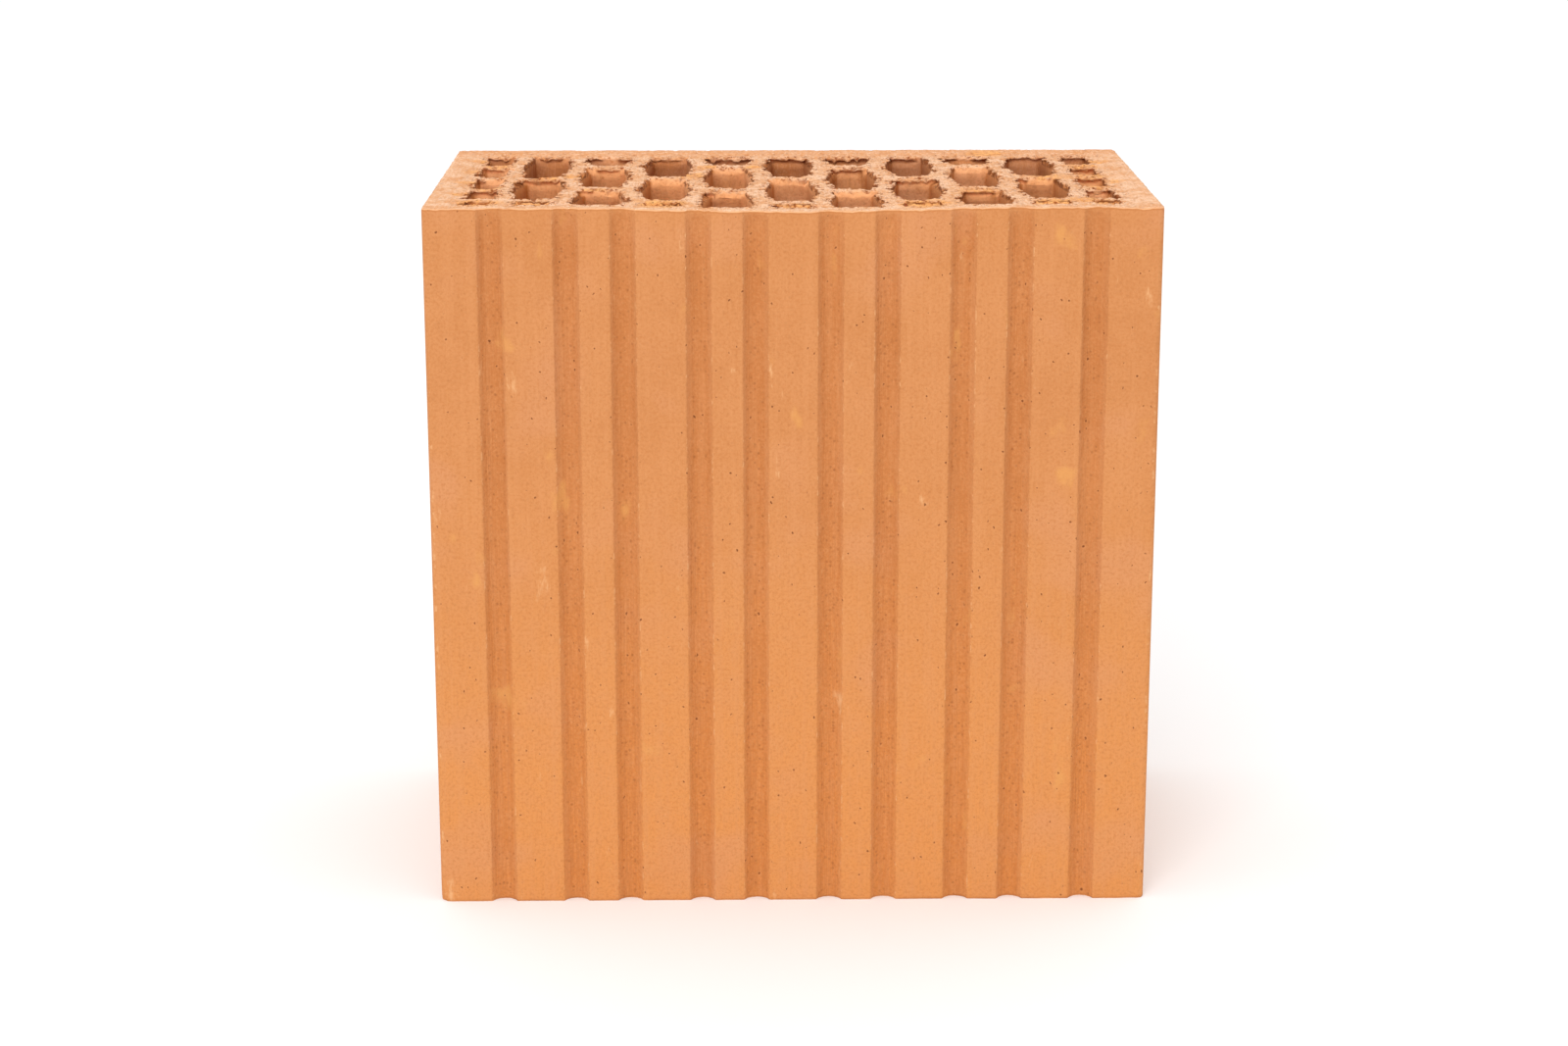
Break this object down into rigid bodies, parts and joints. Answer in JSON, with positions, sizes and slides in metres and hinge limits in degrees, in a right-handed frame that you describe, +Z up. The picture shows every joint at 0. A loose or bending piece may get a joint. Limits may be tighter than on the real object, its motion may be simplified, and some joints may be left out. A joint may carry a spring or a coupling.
{
  "type": "perforated clay block",
  "caption": "Extruded clay wall block with a honeycomb of long hexagonal through cells inside solid shells and shallow round plaster keys down both wall faces.",
  "frame": {"origin": "centre of the lower bed, the cut face that the block stands on", "axes": "+X along the length of the wall, +Y through the wall from the front wall face to the rear one, +Z up along the cells"},
  "size_m": [0.24, 0.14, 0.238],
  "materials": {
    "fired_clay": "unglazed fired clay, smooth drawn faces and torn wire-cut beds"
  },
  "bodies": {
    "root": {"clay_block": "fired_clay"}
  },
  "joints": []
}
